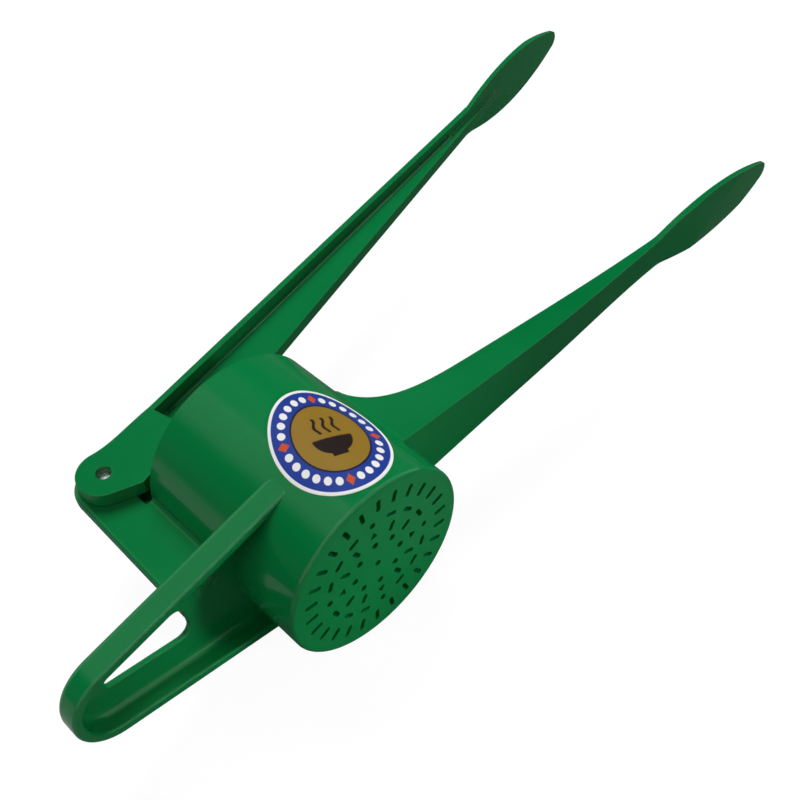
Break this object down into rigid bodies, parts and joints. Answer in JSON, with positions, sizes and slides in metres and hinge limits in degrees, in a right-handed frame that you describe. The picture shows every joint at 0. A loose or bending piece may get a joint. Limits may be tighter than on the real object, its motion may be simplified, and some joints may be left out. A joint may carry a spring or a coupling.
{
  "type": "hand food press",
  "caption": "Two-handled cast press: a hinged lever drives a plunger through a round cup and pushes soft dough or potato out of the slots in its base.",
  "frame": {"origin": "middle of the slotted base's outer face, on the cup's axis", "axes": "+X along the handles to the grips, +Y along the cup from the slotted base to the mouth, +Z along the hinge pin and up, with the press lying on its side"},
  "size_m": [0.3941, 0.1663, 0.0782],
  "materials": {
    "green_paint": "gloss",
    "pin_steel": "satin",
    "label_paper": "satin"
  },
  "bodies": {
    "press_body": {"cup": "green_paint", "slotted_base": "green_paint", "hinge_web": "green_paint", "pot_rest": "green_paint", "lower_handle": "green_paint", "label": "label_paper"},
    "lever": {"upper_lever": "green_paint", "hinge_pin": "pin_steel", "plunger_pin": "pin_steel"},
    "piston": {"plunger": "green_paint"}
  },
  "joints": [
    {"name": "lever_hinge", "type": "hinge", "parent": "press_body", "child": "lever", "pos_m": [-0.0455, 0.097, 0], "axis": [0, 0, 1], "range_deg": [-9.5, 70]},
    {"name": "plunger_slide", "type": "slide", "parent": "press_body", "child": "piston", "axis": [0, 1, 0], "range_m": [-0.009, 0.0655]}
  ],
  "couplings": [
    {"joint": "plunger_slide", "follows": "lever_hinge", "m_per_rad": 0.05278}
  ]
}
